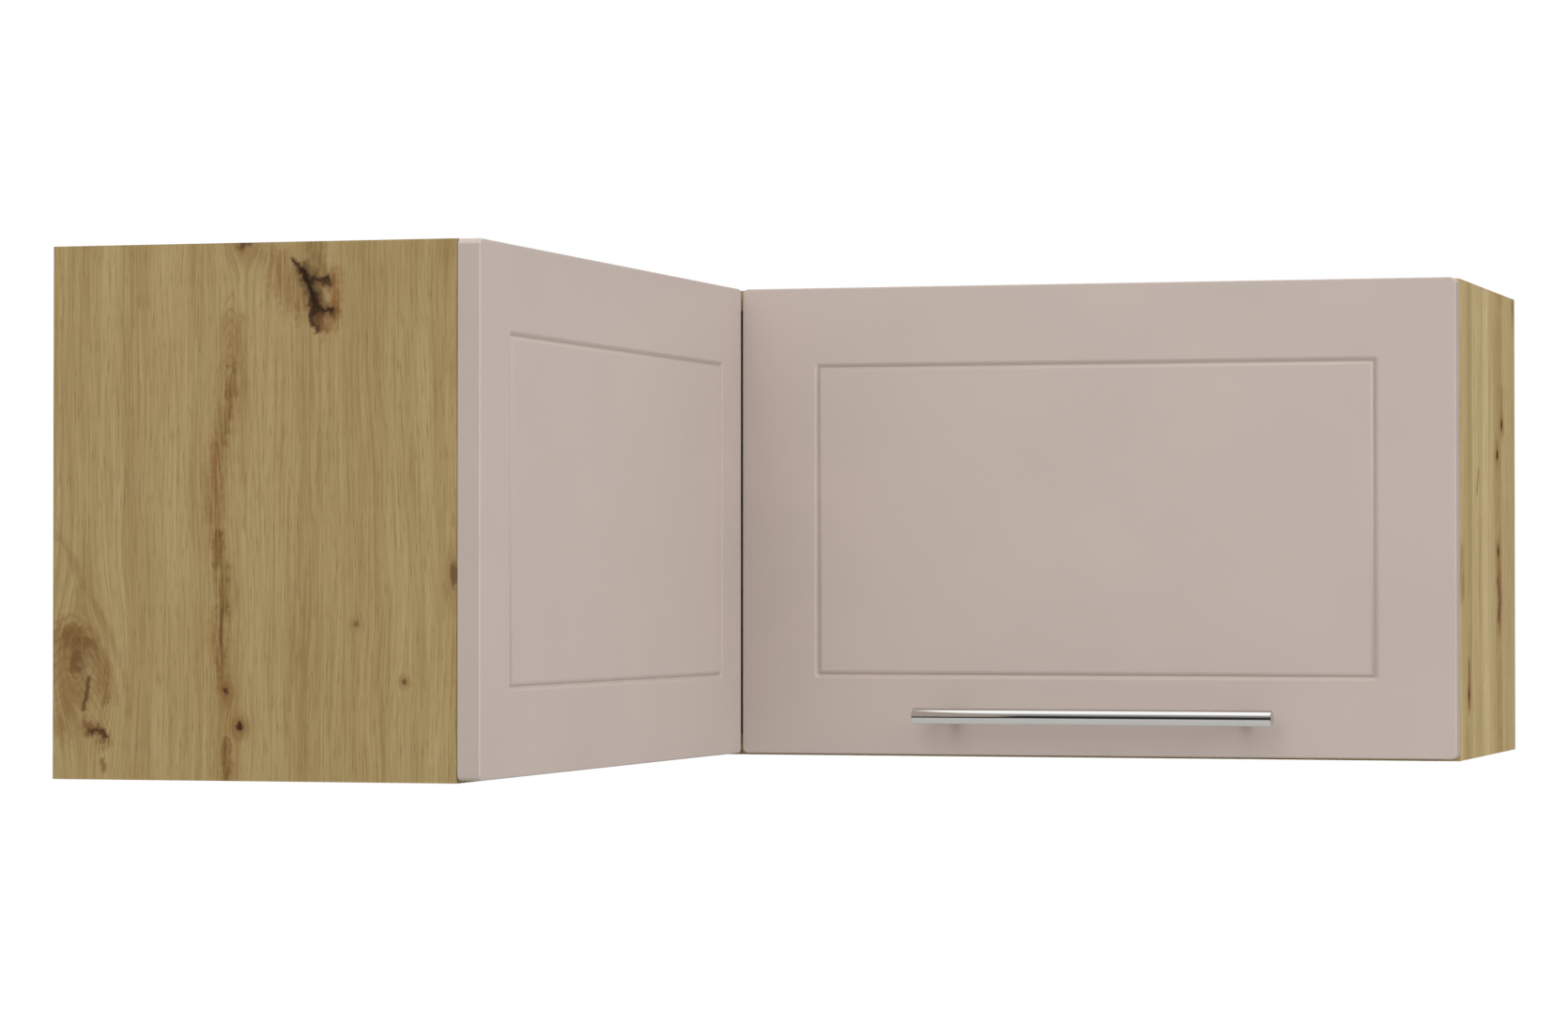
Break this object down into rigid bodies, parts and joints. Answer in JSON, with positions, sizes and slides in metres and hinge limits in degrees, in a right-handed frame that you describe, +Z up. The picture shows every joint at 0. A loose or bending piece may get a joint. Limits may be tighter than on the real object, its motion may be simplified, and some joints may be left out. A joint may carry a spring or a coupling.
{
  "type": "corner wall cabinet",
  "caption": "L-shaped low corner wall cabinet with oak-decor end panels, a fixed matt front on one wing and a lift-up flap with a bar handle on the other.",
  "frame": {"origin": "the corner where the two room walls meet, at the height of the cabinet's underside", "axes": "+X along the back wall to the right, +Y into the back wall, +Z up; the left wing runs towards -Y along the left wall"},
  "size_m": [0.86, 0.9, 0.36],
  "materials": {
    "oak_decor_board": "printed oak decor on melamine-faced chipboard, vertical grain, satin",
    "lacquered_hardboard": "white lacquered 3 mm hardboard",
    "matt_cashmere_front": "matt cashmere foil wrapped round fibreboard",
    "brushed_handle_steel": "brushed steel",
    "zinc_plated_steel": "bright zinc plate",
    "die_cast_zinc": "tumbled die-cast zinc",
    "nickel_plated_steel": "nickel plate",
    "hanger_plastic": "moulded plastic",
    "stay_housing_plastic": "moulded plastic",
    "clear_bumper": "clear soft polyurethane"
  },
  "bodies": {
    "carcass": {"left_end_panel": "oak_decor_board", "right_end_panel": "oak_decor_board", "top_panel": "oak_decor_board", "bottom_panel": "oak_decor_board", "back_panel_left": "lacquered_hardboard", "back_panel_right": "lacquered_hardboard", "rear_corner_post": "oak_decor_board", "inner_corner_post": "oak_decor_board", "left_front": "matt_cashmere_front", "front_bracket_bottom": "zinc_plated_steel", "front_bracket_top": "zinc_plated_steel", "bumper_left": "clear_bumper", "bumper_right": "clear_bumper", "cam_top_left_1": "die_cast_zinc", "cam_bolt_top_left_1": "zinc_plated_steel", "cam_top_left_2": "die_cast_zinc", "cam_bolt_top_left_2": "zinc_plated_steel", "cam_top_right_1": "die_cast_zinc", "cam_bolt_top_right_1": "zinc_plated_steel", "cam_top_right_2": "die_cast_zinc", "cam_bolt_top_right_2": "zinc_plated_steel", "cam_bottom_left_1": "die_cast_zinc", "cam_bolt_bottom_left_1": "zinc_plated_steel", "cam_bottom_left_2": "die_cast_zinc", "cam_bolt_bottom_left_2": "zinc_plated_steel", "cam_bottom_right_1": "die_cast_zinc", "cam_bolt_bottom_right_1": "zinc_plated_steel", "cam_bottom_right_2": "die_cast_zinc", "cam_bolt_bottom_right_2": "zinc_plated_steel", "hanger_housing_left": "hanger_plastic", "hanger_hook_left": "zinc_plated_steel", "hanger_housing_corner": "hanger_plastic", "hanger_hook_corner": "zinc_plated_steel", "hanger_housing_right": "hanger_plastic", "hanger_hook_right": "zinc_plated_steel", "hinge_plate_left": "nickel_plated_steel", "hinge_arm_left": "nickel_plated_steel", "hinge_plate_right": "nickel_plated_steel", "hinge_arm_right": "nickel_plated_steel", "stay_housing": "stay_housing_plastic"},
    "flap": {"flap_front": "matt_cashmere_front", "handle_bar": "brushed_handle_steel", "handle_post_left": "brushed_handle_steel", "handle_post_right": "brushed_handle_steel", "handle_screw_left": "zinc_plated_steel", "handle_screw_right": "zinc_plated_steel", "hinge_cup_left": "nickel_plated_steel", "hinge_cup_right": "nickel_plated_steel", "stay_flap_bracket": "nickel_plated_steel"},
    "main_levers": {"hinge_main_lever_left": "zinc_plated_steel", "hinge_main_lever_right": "zinc_plated_steel"},
    "tail_levers": {"hinge_tail_lever_left": "zinc_plated_steel", "hinge_tail_lever_right": "zinc_plated_steel"},
    "cup_links": {"hinge_cup_link_left": "nickel_plated_steel", "hinge_cup_link_right": "nickel_plated_steel"},
    "outer_links": {"hinge_outer_link_left": "nickel_plated_steel", "hinge_outer_link_right": "nickel_plated_steel"},
    "stay_arm": {"stay_arm": "zinc_plated_steel"},
    "stay_link": {"stay_link": "zinc_plated_steel"}
  },
  "joints": [
    {"name": "flap_lift", "type": "hinge", "parent": "carcass", "child": "flap", "pos_m": [0.5835, -0.304, 0.357], "axis": [-1, 0, 0], "range_deg": [0, 90]},
    {"name": "main_lever_swing", "type": "hinge", "parent": "carcass", "child": "main_levers", "pos_m": [0.5835, -0.2805, 0.339], "axis": [-1, 0, 0], "range_deg": [0, 90]},
    {"name": "tail_lever_swing", "type": "hinge", "parent": "carcass", "child": "tail_levers", "pos_m": [0.5835, -0.264, 0.338], "axis": [-1, 0, 0], "range_deg": [0, 90]},
    {"name": "cup_link_pivot", "type": "hinge", "parent": "main_levers", "child": "cup_links", "pos_m": [0.5835, -0.2715, 0.329], "axis": [-1, 0, 0], "range_deg": [-90, 0]},
    {"name": "outer_link_pivot", "type": "hinge", "parent": "main_levers", "child": "outer_links", "pos_m": [0.5835, -0.2715, 0.3175], "axis": [-1, 0, 0], "range_deg": [-90, 0]},
    {"name": "stay_arm_swing", "type": "hinge", "parent": "carcass", "child": "stay_arm", "pos_m": [0.828, -0.26, 0.298], "axis": [-1, 0, 0], "range_deg": [0, 90]},
    {"name": "stay_link_pivot", "type": "hinge", "parent": "stay_arm", "child": "stay_link", "pos_m": [0.825, -0.233, 0.221], "axis": [-1, 0, 0], "range_deg": [-90, 0]}
  ],
  "couplings": [
    {"joint": "main_lever_swing", "follows": "flap_lift", "ratio": 1},
    {"joint": "tail_lever_swing", "follows": "flap_lift", "ratio": 1},
    {"joint": "cup_link_pivot", "follows": "flap_lift", "ratio": -1},
    {"joint": "outer_link_pivot", "follows": "flap_lift", "ratio": -1},
    {"joint": "stay_arm_swing", "follows": "flap_lift", "ratio": 1},
    {"joint": "stay_link_pivot", "follows": "flap_lift", "ratio": -1}
  ]
}
